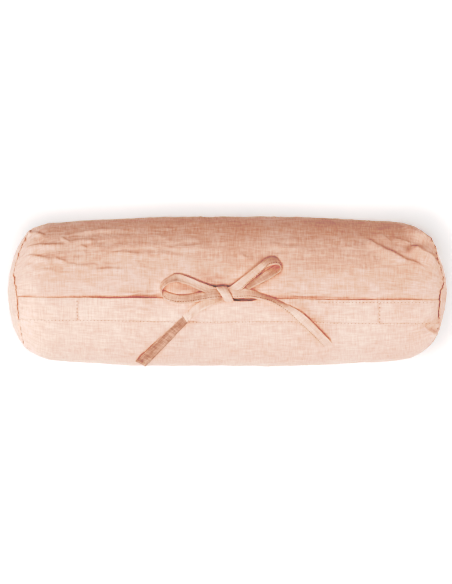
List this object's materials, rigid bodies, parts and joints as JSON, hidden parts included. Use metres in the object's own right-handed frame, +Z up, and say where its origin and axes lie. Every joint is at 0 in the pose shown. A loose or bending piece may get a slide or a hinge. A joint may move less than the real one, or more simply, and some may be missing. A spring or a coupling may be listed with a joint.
{
  "type": "bolster pillow",
  "caption": "Cylindrical bolster pillow in a linen cover with domed end panels and an overlapping hem tied in a bow, over a filled inner cushion.",
  "frame": {"origin": "on the surface the roll rests on, below the middle of its length and width", "axes": "+X along the roll towards its right end, +Y across the roll towards the side away from the bow's tails, +Z up, so that the opening and the bow face up"},
  "size_m": [0.45, 0.153, 0.1553],
  "materials": {
    "linen": "matte",
    "thread": "satin",
    "ticking": "matte",
    "fibre": "matte"
  },
  "bodies": {
    "roll": {"wrap_panel": "linen", "left_end_panel": "linen", "right_end_panel": "linen", "band_left_end": "linen", "band_centre": "linen", "band_right_end": "linen", "hem_stitching": "thread", "band_edge_stitching": "thread", "left_box_stitching": "thread", "right_box_stitching": "thread", "left_end_seam_thread": "thread", "right_end_seam_thread": "thread", "bow_knot": "linen", "upper_tie_end": "linen", "lower_tie_end": "linen", "left_tail_root": "linen", "insert_tube": "ticking", "insert_left_end": "ticking", "insert_right_end": "ticking", "insert_left_seam_thread": "thread", "insert_right_seam_thread": "thread", "insert_closing_stitches": "thread", "filling": "fibre"},
    "left_lip": {"left_lip": "linen"},
    "right_lip": {"right_lip": "linen", "right_lip_stitching": "thread"},
    "left_loop": {"left_loop": "linen"},
    "right_loop": {"right_loop": "linen"},
    "left_tail": {"left_tail": "linen"},
    "right_tail": {"right_tail": "linen"}
  },
  "joints": [
    {"name": "left_lip_lift", "type": "hinge", "parent": "roll", "child": "left_lip", "pos_m": [-0.114, -0.02926, 0.13995], "axis": [0.9987, -0.0196, 0.0465], "range_deg": [0, 30]},
    {"name": "right_lip_lift", "type": "hinge", "parent": "roll", "child": "right_lip", "pos_m": [0.1235, -0.02913, 0.13966], "axis": [0.998, 0.0243, -0.0576], "range_deg": [0, 30]},
    {"name": "left_loop_lift", "type": "hinge", "parent": "roll", "child": "left_loop", "pos_m": [-0.011, 0, 0.1542], "axis": [0, 1, 0], "range_deg": [0, 70]},
    {"name": "right_loop_lift", "type": "hinge", "parent": "roll", "child": "right_loop", "pos_m": [0.007, 0.00874, 0.15374], "axis": [0, -1, 0], "range_deg": [0, 70]},
    {"name": "left_tail_lift", "type": "hinge", "parent": "roll", "child": "left_tail", "pos_m": [-0.038, -0.02324, 0.14547], "axis": [-0.7602, 0.6205, 0.1924], "range_deg": [0, 60]},
    {"name": "right_tail_lift", "type": "hinge", "parent": "roll", "child": "right_tail", "pos_m": [0.0075, -0.00308, 0.14894], "axis": [0, -0.9992, -0.0392], "range_deg": [0, 60]}
  ]
}
